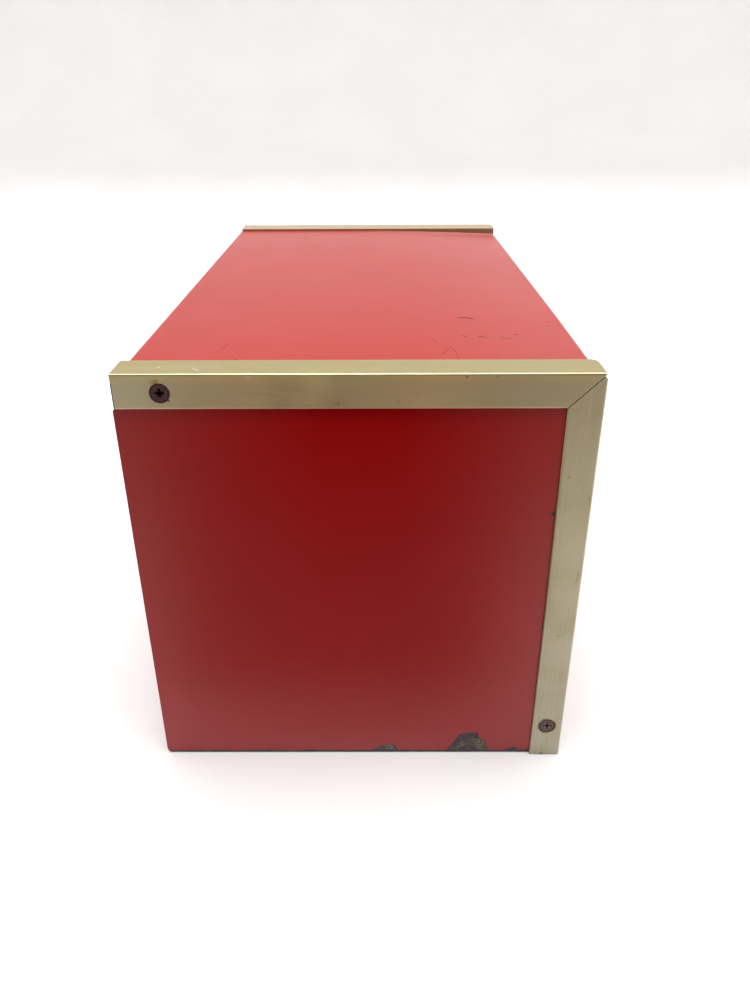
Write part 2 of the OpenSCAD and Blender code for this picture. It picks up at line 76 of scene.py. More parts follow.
class Look:
    """A material built from nodes round one Principled shader."""

    def __init__(self, name, **settings):
        self.material = bpy.data.materials.new(name)
        self.material.use_nodes = True
        self.tree = self.material.node_tree
        self.shader = self.tree.nodes["Principled BSDF"]
        for socket, value in settings.items():
            self.shader.inputs[socket.replace("_", " ")].default_value = value
        self.place = self.node("TexCoord").outputs["Object"]

    def node(self, kind, inputs=(), **properties):
        made = self.tree.nodes.new("ShaderNode" + kind)
        for name, value in properties.items():
            setattr(made, name, value)
        for socket, value in dict(inputs).items():
            self.feed(made.inputs[socket], value)
        return made

    def feed(self, socket, value):
        if isinstance(value, bpy.types.NodeSocket):
            self.tree.links.new(value, socket)
        else:
            socket.default_value = value

    def drive(self, socket, value):
        self.feed(self.shader.inputs[socket], value)

    def math(self, operation, a, b=0.0, clamp=False):
        return self.node("Math", {0: a, 1: b}, operation=operation, use_clamp=clamp).outputs[0]

    def vector(self, operation, a, b=(0.0, 0.0, 0.0)):
        return self.node("VectorMath", {0: a, 1: b}, operation=operation).outputs["Vector"]

    def length(self, a):
        return self.node("VectorMath", {0: a}, operation="LENGTH").outputs["Value"]

    def dot(self, a, b):
        return self.node("VectorMath", {0: a, 1: b}, operation="DOT_PRODUCT").outputs["Value"]

    def axis(self, vector, letter):
        return self.node("SeparateXYZ", {0: vector}).outputs[letter]

    def span(self, value, low, high, to_low=0.0, to_high=1.0, smooth=True):
        """value from low to high, carried over to the range to_low to to_high and clamped there."""
        kind = "SMOOTHSTEP" if smooth else "LINEAR"
        return self.node("MapRange", {"Value": value, "From Min": low, "From Max": high,
                                      "To Min": to_low, "To Max": to_high},
                         interpolation_type=kind).outputs["Result"]

    def noise(self, per_metre, detail=2.0, rough=0.5, where=None, stretch=None):
        """Noise from 0 to 1, with about that many features to the metre."""
        where = self.place if where is None else where
        if stretch is not None:
            where = self.vector("MULTIPLY", where, stretch)
        return self.node("TexNoise", {"Vector": where, "Scale": per_metre, "Detail": detail,
                                      "Roughness": rough}).outputs["Fac"]

    def wander(self, per_metre, reach, axes=(1.0, 1.0, 1.0)):
        """The surface point, pushed about by up to about reach metres, for ragged outlines."""
        shift = self.node("TexNoise", {"Vector": self.place, "Scale": per_metre, "Detail": 3.0}).outputs["Color"]
        centred = self.vector("SUBTRACT", shift, (0.5, 0.5, 0.5))
        push = tuple(reach * 2 * axis for axis in axes)
        return self.vector("ADD", self.place, self.vector("MULTIPLY", centred, push))

    def mix(self, factor, a, b):
        """Blends two colours."""
        made = self.node("Mix", {"Factor": factor}, data_type="RGBA")
        self.feed(made.inputs[6], a)
        self.feed(made.inputs[7], b)
        return made.outputs[2]

    def tint(self, colour, factor, full, none=UNTOUCHED):
        """Multiplies a colour by full where factor is 1, and by none where it is 0."""
        return self.vector("MULTIPLY", colour, self.mix(factor, none, full))

    def facing(self, letter, sign=1.0):
        """How far the surface faces along an axis, from 0 to 1."""
        along = self.math("MULTIPLY", self.axis(self.node("TexCoord").outputs["Normal"], letter), sign)
        return self.math("MAXIMUM", along, 0.0)

    def blend(self, factor, a, b):
        """Blends two numbers."""
        made = self.node("Mix", {"Factor": factor}, data_type="FLOAT")
        self.feed(made.inputs[2], a)
        self.feed(made.inputs[3], b)
        return made.outputs[0]

    def most(self, *masks):
        """The strongest of several masks at each point."""
        total = masks[0]
        for mask in masks[1:]:
            total = self.math("MAXIMUM", total, mask)
        return total

    def bump(self, height, depth):
        """Adds relief of that depth in metres to the surface."""
        return self.node("Bump", {"Height": height, "Distance": depth, "Strength": 1.0}).outputs["Normal"]

    def blot(self, where, centre, size, soft=0.25):
        """Mask of an ellipsoid: 1 inside, 0 outside, with an edge as soft as that share of it."""
        offset = self.vector("SUBTRACT", where, tuple(centre))
        scaled = self.vector("DIVIDE", offset, tuple(size))
        return self.span(self.length(scaled), 1.0 - soft, 1.0, 1.0, 0.0)

    def outline(self, along, points, unit=MM):
        """Height of a ragged outline: straight lines between (position, height) points, 0 beyond them."""
        first, last = points[0][0], points[-1][0]
        tallest = max(height for _, height in points)
        share = self.math("DIVIDE", self.math("SUBTRACT", along, first * unit), (last - first) * unit, clamp=True)
        made = self.node("ValToRGB", {0: share})
        ramp = made.color_ramp
        while len(ramp.elements) < len(points):
            ramp.elements.new(0.5)
        for element, (position, height) in zip(ramp.elements, points):
            element.position = (position - first) / (last - first)
        for element, (position, height) in zip(ramp.elements, points):
            element.color = (height / tallest,) * 3 + (1.0,)
        return self.math("MULTIPLY", self.axis(made.outputs[0], "X"), tallest * unit)

    def stroke(self, where, start, end, width):
        """Mask of a thin straight mark between two points, about that wide."""
        start, end = Vector(start), Vector(end)
        run = end - start
        offset = self.vector("SUBTRACT", where, tuple(start))
        share = self.math("DIVIDE", self.dot(offset, tuple(run)), run.length_squared, clamp=True)
        along = self.node("VectorMath", {0: tuple(run), "Scale": share}, operation="SCALE").outputs["Vector"]
        distance = self.length(self.vector("SUBTRACT", offset, along))
        return self.span(distance, width * 0.25, width * 0.6, 1.0, 0.0)


# ---------- Materials ----------

# Enamel as sprayed, its deeper patches and its faded bloom: on the case, and a darker copy on the door, painted
# shade for its face turned away from the overhead light
CASE_REDS = ((0.345, 0.0080, 0.0012, 1.0), (0.332, 0.0072, 0.0011, 1.0), (0.358, 0.0095, 0.0020, 1.0))
DOOR_REDS_SHADED = ((0.292, 0.0016, 0.0018, 1.0), (0.276, 0.0014, 0.0016, 1.0), (0.305, 0.0026, 0.0028, 1.0))
BARE_STEEL = (0.036, 0.020, 0.026, 1.0)
BARE_PALE = (0.078, 0.050, 0.050, 1.0)
OLIVE = (0.070, 0.054, 0.036, 1.0)
OLIVE_PALE = (0.21, 0.175, 0.105, 1.0)
DUST = (0.36, 0.10, 0.085, 1.0)


def worn_gloss(look):
    """Share of its gloss that the door's paint still has: least high up in the middle, where hands have been."""
    height = look.axis(look.place, "Z")
    across = look.math("ABSOLUTE", look.math("SUBTRACT", look.axis(look.place, "X"), 0.002))
    middle = look.span(height, 0.020, 0.190, 0.85, 0.10, smooth=False)
    middle = look.math("ADD", middle, look.span(height, 0.0, 0.018, 0.35, 0.0, smooth=False))
    return look.blend(look.span(across, 0.016, 0.098, smooth=False), middle, 1.05)


def red_enamel(name, reds=CASE_REDS, index=1.5, chips=None, marks_and_reflection=None):
    """Old semi-gloss enamel on sheet steel. chips and marks are functions that give masks of what has happened to
    it, bare metal and scratches, and of a painted reflection that makes the top paler towards its far right end."""
    look = Look(name, IOR=index)
    inner = look.dot(look.node("TexCoord").outputs["Normal"],
                     look.vector("SUBTRACT", look.place, (0.0, 0.0, (CASE_HI.z + CASE_LO.z) / 2)))
    inside = look.span(inner, 0.0005, -0.0005, smooth=False)

    clouds = look.noise(14.0, 3.0)
    mottle = look.noise(120.0, 4.0, 0.6)
    grain = look.noise(900.0, 2.0)
    colour = look.mix(look.span(clouds, 0.35, 0.68), reds[0], reds[1])
    faded = look.math("MULTIPLY", look.span(mottle, 0.46, 0.72), 0.12)
    colour = look.mix(faded, colour, reds[2])
    colour = look.mix(look.math("MULTIPLY", look.span(grain, 0.6, 0.75), 0.10), colour, reds[2])
    dust = look.math("MULTIPLY", look.span(look.noise(45.0, 4.0, 0.65), 0.45, 0.7), 0.35)
    colour = look.mix(look.math("MULTIPLY", dust, inside), colour, DUST)

    roughness = look.span(look.noise(40.0, 2.0), 0.3, 0.7, 0.285, 0.305)
    roughness = look.math("ADD", roughness, look.math("MULTIPLY", inside, 0.25))
    metal = None
    height = None

    if marks_and_reflection is not None:
        mark, painted_reflection = marks_and_reflection(look)
        # painted reflection: the top is painted a paler pink where this mask is set
        colour = look.mix(painted_reflection, colour, (0.42, 0.165, 0.158, 1.0))
        colour = look.mix(look.math("MULTIPLY", mark, 0.85), colour, (0.095, 0.004, 0.004, 1.0))
        roughness = look.blend(mark, roughness, 0.6)
        height = look.math("SUBTRACT", 0.0, mark)
    if chips is not None:
        look.drive("Specular IOR Level", look.math("MULTIPLY", worn_gloss(look), 0.5))
        bare, old_coat, bruise = chips(look)
        steel = look.mix(look.span(look.noise(520.0, 5.0, 0.7), 0.40, 0.62), BARE_STEEL, BARE_PALE)
        steel = look.mix(old_coat, steel, look.mix(look.span(mottle, 0.35, 0.65), OLIVE, OLIVE_PALE))
        colour = look.mix(look.math("MULTIPLY", bruise, 0.75), colour, (0.070, 0.008, 0.011, 1.0))
        colour = look.mix(bare, colour, steel)
        roughness = look.blend(bare, roughness, 0.6)
        metal = look.math("MULTIPLY", look.math("SUBTRACT", bare, old_coat, clamp=True), 0.25)
        height = look.math("MULTIPLY", bare, -2.6)
        height = look.math("ADD", height, look.math("MULTIPLY", old_coat, 1.2))
        height = look.math("ADD", height, look.math("MULTIPLY", bare, look.noise(900.0, 4.0, 0.7)))
    look.drive("Base Color", colour)
    look.drive("Roughness", roughness)
    if metal is not None:
        look.drive("Metallic", metal)
    if height is not None:
        look.drive("Normal", look.bump(height, 0.00005))
    return look.material


# The door's chips as (place across, height) in mm: the whole chip, the older coat in it, and steel within that
BIG_CHIP = ((42.2, 0), (43.0, 1.2), (44.5, 3.2), (47.0, 6.6), (49.0, 10.2), (51.0, 13.1), (52.5, 13.4),
            (54.5, 14.0), (57.0, 13.6), (59.6, 14.1), (60.2, 10.4), (61.5, 9.5), (63.5, 7.7), (65.0, 4.6),
            (66.3, 0))
BIG_LAYER = ((48.6, 0), (49.8, 6.0), (53.0, 8.8), (57.0, 9.9), (60.4, 9.2), (63.2, 7.0), (64.6, 3.8), (65.2, 0))
BIG_HEART = ((48.0, 0), (50.0, 3.2), (55.0, 5.6), (58.8, 5.0), (60.6, 1.8), (61.2, 0))
LEFT_CHIP = ((4.4, 0), (5.3, 2.4), (8.3, 3.2), (9.4, 4.9), (11.5, 5.4), (13.0, 5.6), (15.0, 6.0), (16.8, 5.3),
             (17.6, 3.4), (19.4, 0))
LEFT_LAYER = ((7.4, 0), (8.4, 3.4), (11.0, 5.0), (14.4, 5.2), (16.2, 4.2), (16.8, 0))
RIGHT_CHIP = ((74.0, 0), (75.0, 2.6), (76.9, 2.9), (77.5, 3.9), (79.8, 3.7), (80.8, 0))


def door_chips(look):
    """Paint lost along the door's lower edge, and a few specks: masks of the loss and of what is left of an
    older olive coat in it."""
    face = DOOR_LO.y
    ragged = look.wander(700.0, 0.0015)
    fine = look.wander(1100.0, 0.0009)
    across = look.axis(fine, "X")
    height = look.axis(ragged, "Z")

    def below(points):
        edge = look.math("SUBTRACT", look.outline(across, points), height)
        return look.span(edge, -0.0001, 0.00015)

    def spot(x, z, wide, tall, soft):
        return look.blot(fine, (x * MM, face, z * MM), (wide * MM, 9 * MM, tall * MM), soft)

    worn = look.span(look.noise(150.0, 4.0, 0.75), 0.30, 0.75, 0.0012, 0.0024)
    edge = look.math("LESS_THAN", look.axis(look.place, "Z"), worn)
    outside = look.math("LESS_THAN", look.axis(look.place, "Y"), face + 0.8 * MM)
    chips = look.most(below(BIG_CHIP), below(LEFT_CHIP), below(RIGHT_CHIP),
                      spot(SIDE_TRIM_LO.x / MM - 0.5, 142.5, 1.7, 1.5, 0.4))
    chips = look.most(look.math("MULTIPLY", chips, outside), edge)
    old_coat = look.most(look.math("SUBTRACT", below(BIG_LAYER), below(BIG_HEART), clamp=True), below(LEFT_LAYER))
    broken = look.span(look.noise(900.0, 4.0, 0.75), 0.42, 0.58)
    broken = look.math("MULTIPLY", broken, look.span(look.axis(fine, "Z"), 1.6 * MM, 2.6 * MM))
    return chips, look.math("MULTIPLY", old_coat, broken), look.most(spot(16.1, 14.0, 1.3, 0.9, 0.9),
                                                                 spot(44.6, 26.4, 0.8, 0.7, 0.5))


def top_marks_and_reflection(look):
    """Masks of the scratches and scuffs on the top sheet, and of a painted reflection on it: paler towards the far
    right end and in a strip just before the front trim.
    """
    top = CASE_HI.z
    bent = look.wander(220.0, 0.0012, (1.0, 1.0, 0.0))

    def at(x, y):
        return (x * MM, y * MM, top)

    lines = [                   # start, end, width, strength
        (at(49.8, -93.7), at(52.7, -93.7), 0.0023, 1.0),
        (at(52.7, -93.7), at(56.1, -95.6), 0.0023, 1.0),
        (at(48.3, -126.0), at(49.6, -128.0), 0.0018, 0.75),
        (at(56.3, -127.2), at(59.0, -128.6), 0.0017, 0.8),
        (at(66.1, -129.2), at(67.8, -130.4), 0.0013, 0.6),
        (at(67.8, -130.4), at(70.2, -131.0), 0.0014, 0.65),
        (at(73.3, -124.2), at(74.1, -124.8), 0.0015, 0.65),
        (at(92.2, -101.9), at(93.6, -102.2), 0.0013, 0.55),
        (at(-54.6, -163.4), at(-53.0, -161.6), 0.0018, 0.9),
    ]
    masks = [look.math("MULTIPLY", look.stroke(bent, *line), strength) for *line, strength in lines]
    faint = [look.stroke(bent, at(-63, -151), at(-59.5, -137.5), 0.0008),
             look.stroke(bent, at(33.4, -129.0), at(35.5, -138.0), 0.0007),
             look.stroke(bent, at(41.2, -143.6), at(43.0, -151.0), 0.0008),
             look.stroke(bent, at(43.0, -151.0), at(43.2, -161.0), 0.0008),
             look.stroke(bent, at(36.1, -157.0), at(41.2, -143.6), 0.0007)]
    broken = look.span(look.noise(900.0, 3.0, 0.7), 0.28, 0.46)
    strong = look.math("MULTIPLY", look.most(*masks), broken)
    across, along, height = (look.axis(look.place, letter) for letter in "XYZ")
    # painted reflection: paler in a strip before the front trim and towards the far right end of the top
    painted_reflection = look.math("MULTIPLY", look.span(along, 0.146, 0.167), look.span(across, -0.01, 0.07, 0.15, 0.9))
    far_reflection = look.math("ADD", look.span(along, 0.04, 0.17, 0.0, 0.11), look.span(across, 0.02, 0.10, 0.0, 0.11))
    painted_reflection = look.math("MAXIMUM", painted_reflection, far_reflection)
    painted_reflection = look.math("MULTIPLY", painted_reflection, look.span(height, top - 8 * MM, top - 4 * MM))
    return look.most(strong, look.math("MULTIPLY", look.most(*faint), 0.4)), painted_reflection


CHAMPAGNE = (0.66, 0.535, 0.30, 1.0)
CHAMPAGNE_WARM = (0.62, 0.485, 0.255, 1.0)
CHAMPAGNE_PALE = (0.71, 0.61, 0.40, 1.0)
UPRIGHT_SHADE_TONE = (0.66, 0.745, 0.87)         # painted shade: the upright trims are painted greyer and darker for how their upright grain catches the light
FAR_TOP_LIGHT_TONE = (1.14, 1.13, 1.38)           # painted highlight: the front trim's upward faces are painted paler


def top_trim_painted_light(look, colour):
    """The door's top trim, painted with reflections and shade: its front leg browner in the middle than at its
    ends, its top face tinted, a warmer band just under the fold, a pink reflection of the door at its foot, and
    painted shade on the fold itself that dims its highlight."""
    height = look.axis(look.place, "Z")
    front, upper = look.facing("Y", -1.0), look.facing("Z")
    from_middle = look.math("ABSOLUTE", look.math("ADD", look.axis(look.place, "X"), 0.008))
    ends = look.span(from_middle, 0.015, 0.095)
    left = look.span(look.axis(look.place, "X"), 0.02, -0.08)
    tips = look.mix(left, (0.49, 0.443, 0.290, 1.0), (0.60, 0.575, 0.395, 1.0))
    middle = look.math("MULTIPLY", front, look.math("SUBTRACT", 1.0, ends))
    colour = look.mix(middle, colour, (1.0, 0.80, 0.455, 1.0))
    colour = look.mix(look.math("MULTIPLY", front, ends), colour, tips)
    colour = look.tint(colour, upper, (1.02, 1.09, 1.02, 1.0))
    under_fold = look.span(height, TOP_TRIM_HI.z - 5 * MM, TOP_TRIM_HI.z - 2 * MM)
    colour = look.tint(colour, look.math("MULTIPLY", front, under_fold), (1.12, 1.07, 0.93, 1.0))
    foot = look.span(height, TOP_TRIM_LO.z + 1.3 * MM, TOP_TRIM_LO.z + 0.3 * MM)
    colour = look.tint(colour, look.math("MULTIPLY", front, foot), (1.17, 1.02, 1.18, 1.0))
    fold = look.math("MULTIPLY", look.math("MULTIPLY", front, upper), 1.6)
    return look.mix(fold, colour, (0.205, 0.170, 0.125, 1.0))


def champagne(name, along, tone=(1.0, 1.0, 1.0), stains_and_shade=None, shaded_tip=None):
    """Brushed champagne anodising, its grain running along one axis (0, 1 or 2). A shaded tip is the front top
    trim's: a place along Y below which the sawn edge is painted dark and dull, painted shade that also dims its
    highlight; that trim's upward faces are painted paler as a painted highlight."""
    look = Look(name, Metallic=1.0)
    stretch = [1.0, 1.0, 1.0]
    stretch[along] = 0.012
    fine = look.noise(5200.0, 2.0, 0.6, stretch=tuple(stretch))
    coarse = look.noise(900.0, 2.0, 0.5, stretch=tuple(stretch))
    clouds = look.noise(38.0, 4.0, 0.6)
    base, warm, pale = (tuple(c * t for c, t in zip(shade, tone)) + (1.0,)
                        for shade in (CHAMPAGNE, CHAMPAGNE_WARM, CHAMPAGNE_PALE))
    colour = look.mix(look.span(clouds, 0.36, 0.66), base, warm)
    colour = look.mix(look.math("MULTIPLY", look.span(coarse, 0.45, 0.75), 0.45), colour, pale)
    if stains_and_shade is not None and along == 0:
        # painted reflections and shade on the door's top trim
        colour = top_trim_painted_light(look, colour)
    if along == 2:
        # painted light on the upright trims: lighter high up, darker and bluer towards the foot
        low = look.span(look.axis(look.place, "Z"), 0.20, 0.0)
        colour = look.tint(colour, low, (0.85, 0.87, 0.98, 1.0), (1.20, 1.20, 1.22, 1.0))
    specks = look.span(look.noise(1300.0, 2.0, 0.5), 0.74, 0.80)
    colour = look.mix(look.math("MULTIPLY", specks, 0.5), colour, (0.20, 0.15, 0.09, 1.0))
    roughness = look.span(fine, 0.3, 0.7, 0.30, 0.40)
    roughness = look.math("ADD", roughness, look.math("MULTIPLY", look.span(clouds, 0.3, 0.7), 0.06))
    if shaded_tip is not None:
        # painted highlight: the upward faces painted paler
        colour = look.tint(colour, look.facing("Z"), FAR_TOP_LIGHT_TONE + (1.0,))
        # painted shade: the sawn edge darkened
        tip = look.span(look.axis(look.place, "Y"), shaded_tip + 0.5 * MM, shaded_tip + 1.0 * MM, 1.0, 0.0)
        colour = look.mix(look.math("MULTIPLY", tip, 0.9), colour, (0.36, 0.26, 0.16, 1.0))
        roughness = look.blend(tip, roughness, 0.75)
    if stains_and_shade is not None:
        stain_and_shade, tint, strength, bright = stains_and_shade(look)
        colour = look.mix(look.math("MULTIPLY", stain_and_shade, strength), colour, tint)
        colour = look.mix(bright, colour, (1.0, 0.97, 0.86, 1.0))
        roughness = look.blend(stain_and_shade, roughness, 0.6)
    look.drive("Base Color", colour)
    look.drive("Roughness", roughness)
    relief = look.math("ADD", look.math("MULTIPLY", fine, 0.5), look.math("MULTIPLY", coarse, 0.5))
    look.drive("Normal", look.bump(relief, 0.000006))
    return look.material


def screw_stains_and_shade(look):
    """Rust crept out from the door's screws, a painted shade strip along the left end and scuffs on the upright
    trim.
    """
    creep = look.wander(420.0, 0.0013)
    x, y, z = TOP_SCREW
    deep = 6 * MM

    def part(share, *masks):
        return look.math("MULTIPLY", look.most(*masks), share)

    rust = look.most(
        part(0.85, look.blot(creep, (x - 1.5 * MM, y, z + 4.7 * MM), (2.5 * MM, deep, 2.3 * MM), 0.9)),
        part(0.35, look.blot(creep, tuple(Vector(SIDE_SCREW) + Vector((1.6 * MM, 0, 0.4 * MM))),
                             (5.0 * MM, deep, 4.4 * MM), 0.5)),
    )
    grain = look.span(look.noise(1500.0, 3.0, 0.7), 0.42, 0.58)
    scuffs = look.most(
        look.stroke(creep, (100.4 * MM, y, 112 * MM), (99.6 * MM, y, 107 * MM), 0.0008),
        look.stroke(creep, (94.4 * MM, y, 76.4 * MM), (96.8 * MM, y, 75.9 * MM), 0.0008),
        look.stroke(creep, (97.8 * MM, y, 92 * MM), (98.6 * MM, y, 84 * MM), 0.0004),
        look.stroke(creep, (94.8 * MM, y, 161 * MM), (97.4 * MM, y, 155 * MM), 0.0005),
        look.stroke(creep, (100.3 * MM, y, 151.5 * MM), (101.8 * MM, y, 148 * MM), 0.0006),
        look.stroke(creep, (90.6 * MM, y, 161.4 * MM), (91.0 * MM, y, 160.6 * MM), 0.0012),
    )
    # painted shade: a dark strip down the trim's left end, below the fold
    end = look.span(look.axis(look.place, "X"), TOP_TRIM_LO.x + 0.25 * MM, TOP_TRIM_LO.x + 0.7 * MM, 1.0, 0.0)
    low_end = look.math("LESS_THAN", look.axis(look.place, "Z"), TOP_TRIM_HI.z - 4 * MM)
    nick = look.blot(creep, (93.2 * MM, y, SIDE_TRIM_LO.z), (1.5 * MM, deep, 1.2 * MM), 0.4)
    spots = ((44.5, 206.6, 0.55), (57.3, 206.5, 0.55), (17.2, 195.8, 0.50), (16.6, 196.9, 0.35),
             (-8.1, 195.3, 0.55), (-9.6, 194.9, 0.40))
    dots = [look.blot(creep, (across * MM, y, up * MM), (wide * 2 * MM, deep, wide * 1.5 * MM), 0.8)
            for across, up, wide in spots]
    ring = look.blot(creep, tuple(SIDE_SCREW + Vector((-0.4 * MM, 0, 0.2 * MM))), (4.8 * MM, deep, 5.2 * MM), 0.15)
    below = look.blot(creep, (x + 2.9 * MM, y, z - 3.3 * MM), (0.9 * MM, deep, 0.8 * MM), 0.5)
    dirt_and_painted_light = look.most(part(0.55, look.math("MULTIPLY", scuffs, grain)),
                     part(0.8, look.math("MULTIPLY", end, low_end)),
                     part(0.7, nick), part(0.45, *dots), part(0.9, below), part(0.6, ring))
    stain_and_shade = look.most(rust, dirt_and_painted_light)
    tint = look.mix(look.math("GREATER_THAN", dirt_and_painted_light, rust), (0.50, 0.27, 0.030, 1.0), (0.055, 0.038, 0.024, 1.0))
    top = TOP_TRIM_HI.z
    bright = look.most(
        look.stroke(creep, (-83.2 * MM, -177.6 * MM, top), (-82.6 * MM, -177.0 * MM, top), 0.0011),
        look.stroke(creep, (-68.0 * MM, -178.6 * MM, top), (-65.2 * MM, -181.6 * MM, top), 0.0009),
        look.stroke(creep, (-65.2 * MM, -181.6 * MM, top), (-66.6 * MM, -181.4 * MM, top), 0.0007),
        look.stroke(creep, (-44.9 * MM, -184.6 * MM, top), (-44.2 * MM, y, top - 1.6 * MM), 0.0011),
        look.stroke(creep, (-44.2 * MM, y, top - 1.6 * MM), (-43.6 * MM, -184.6 * MM, top), 0.0008),
    )
    return stain_and_shade, tint, 0.95, part(0.8, bright)


def aged_screw():
    """Flat-headed screws gone purple-brown: dirt dark in the top screw's recess, the side screw's recess painted
    lighter as painted light against the shade in it, and both darker round the rim.
    """
    look = Look("aged_screw", Specular_IOR_Level=0.15)
    flecks = look.noise(1200.0, 4.0, 0.8)
    broad = look.noise(450.0, 3.0)
    shifted = look.wander(900.0, 0.0005)
    colour = look.mix(look.span(flecks, 0.38, 0.66), (0.040, 0.016, 0.021, 1.0), (0.120, 0.050, 0.050, 1.0))
    colour = look.mix(look.span(flecks, 0.60, 0.70), colour, (0.34, 0.24, 0.22, 1.0))
    grey = look.span(look.axis(look.place, "Z"), 0.05, 0.03)
    colour = look.mix(look.math("MULTIPLY", grey, 0.5), colour, (0.155, 0.115, 0.100, 1.0))
    # the side screw's lighter recess colour is painted light
    for centre, dirt_and_painted_light, recess in ((TOP_SCREW, 0.95, (0.016, 0.008, 0.009, 1.0)),
                                 (SIDE_SCREW, 0.75, (0.26, 0.18, 0.19, 1.0))):
        from_axis = look.vector("MULTIPLY", look.vector("SUBTRACT", shifted, tuple(centre)), (1.0, 0.0, 1.0))
        radius = look.length(from_axis)
        hollow = look.span(radius, 0.9 * MM, 2.2 * MM, dirt_and_painted_light, 0.0)
        rim = look.math("MULTIPLY", look.span(radius, 3.3 * MM, 4.1 * MM, 0.0, 0.7),
                        look.math("LESS_THAN", radius, 6 * MM))
        colour = look.mix(hollow, colour, recess)
        colour = look.mix(rim, colour, (0.016, 0.008, 0.009, 1.0))
    look.drive("Base Color", colour)
    look.drive("Metallic", look.span(flecks, 0.62, 0.72, 0.0, 0.5))
    look.drive("Roughness", look.span(broad, 0.3, 0.7, 0.50, 0.68))
    look.drive("Normal", look.bump(flecks, 0.00012))
    return look.material


def zinc():
    look = Look("zinc_plate", Metallic=1.0)
    cells = look.node("TexVoronoi", {"Vector": look.wander(200.0, 0.002), "Scale": 160.0}).outputs["Color"]
    tone = look.axis(cells, "X")
    far_reflection = look.noise(70.0, 4.0, 0.6)
    colour = look.mix(tone, (0.52, 0.53, 0.55, 1.0), (0.64, 0.65, 0.66, 1.0))
    colour = look.mix(look.math("MULTIPLY", look.span(far_reflection, 0.5, 0.75), 0.4), colour, (0.42, 0.40, 0.36, 1.0))
    look.drive("Base Color", colour)
    look.drive("Roughness", look.blend(tone, 0.34, look.span(far_reflection, 0.3, 0.7, 0.40, 0.52)))
    look.drive("Normal", look.bump(look.noise(1600.0, 3.0), 0.00001))
    return look.material


def lock_chrome():
    look = Look("lock_chrome", Metallic=1.0)
    haze = look.noise(260.0, 4.0, 0.6)
    look.drive("Base Color", look.mix(look.span(haze, 0.4, 0.75), (0.72, 0.71, 0.69, 1.0), (0.55, 0.52, 0.47, 1.0)))
    look.drive("Roughness", look.span(haze, 0.3, 0.75, 0.12, 0.30))
    look.drive("Normal", look.bump(look.noise(2500.0, 2.0), 0.000003))
    return look.material


def black_rubber():
    look = Look("black_rubber")
    haze = look.noise(90.0, 4.0, 0.65)
    grain = look.noise(2600.0, 2.0)
    look.drive("Base Color", look.mix(look.span(haze, 0.42, 0.75), (0.018, 0.018, 0.019, 1.0),
                                      (0.055, 0.050, 0.046, 1.0)))
    look.drive("Roughness", look.span(haze, 0.3, 0.7, 0.62, 0.80))
    look.drive("Normal", look.bump(grain, 0.00003))
    return look.material


# ---------- Shapes ----------

def paint(obj, material):
    obj.data.materials.clear()
    obj.data.materials.append(material)


def round_edges(obj, bevel):
    """Rounds the sharp edges and shades the faces smoothly."""
    edge = obj.modifiers.new("edge", "BEVEL")
    edge.width = bevel
    edge.segments = 2
    edge.limit_method = "ANGLE"
    edge.angle_limit = SHARP_ANGLE
    edge.harden_normals = False
    normals = obj.modifiers.new("normals", "WEIGHTED_NORMAL")
    normals.keep_sharp = False


def soften(obj, bevel, material):
    """Merges the CAD facets into clean faces, rounds the sharp edges and shades them smoothly."""
    weld = obj.modifiers.new("weld", "WELD")
    weld.merge_threshold = WELD_GAP
    flat = obj.modifiers.new("flat", "DECIMATE")
    flat.decimate_type = "DISSOLVE"
    flat.angle_limit = FLAT_ANGLE
    round_edges(obj, bevel)
    paint(obj, material)


SAG = 2.6 * MM


def sag(x, y):
    """How far the top sheet has sunk at a point: nothing near the door and on the left, most just before the
    front trim on the right, and nothing again where the front panel holds it up."""
    along = min(1.0, max(0.0, (y + 0.090) / 0.256))
    across = min(1.0, max(0.0, (x - 0.010) / 0.089))
    held = min(1.0, max(0.0, (y - 0.1675) / 0.0050))
    return SAG * along * across ** 1.3 * (1.0 - held * held * (3.0 - 2.0 * held))


def sunken_piece(node, planes, move, bevel, material):
    """A node's shape as it is now, after the top sheet has sunk: cut through the planes, each a point and a
    normal, so that it can bend, and each vertex lowered by move(place)."""
    mesh = frame["nodes"][node].data.copy()
    obj = bpy.data.objects.new(node + "_sunk", mesh)
    bpy.context.scene.collection.objects.link(obj)
    work = bmesh.new()
    work.from_mesh(mesh)
    bmesh.ops.remove_doubles(work, verts=work.verts, dist=WELD_GAP)
    bmesh.ops.dissolve_limit(work, angle_limit=FLAT_ANGLE, verts=work.verts, edges=work.edges)
    for point, normal in planes:
        geometry = work.verts[:] + work.edges[:] + work.faces[:]
        bmesh.ops.bisect_plane(work, geom=geometry, dist=0.000001, plane_co=point, plane_no=normal)
    for vertex in work.verts:
        vertex.co.z -= move(vertex.co)
    work.to_mesh(mesh)
    work.free()
    for face in mesh.polygons:
        face.use_smooth = True
    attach(obj, BODY_OF[node])
    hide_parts(node)
    round_edges(obj, bevel)
    paint(obj, material)


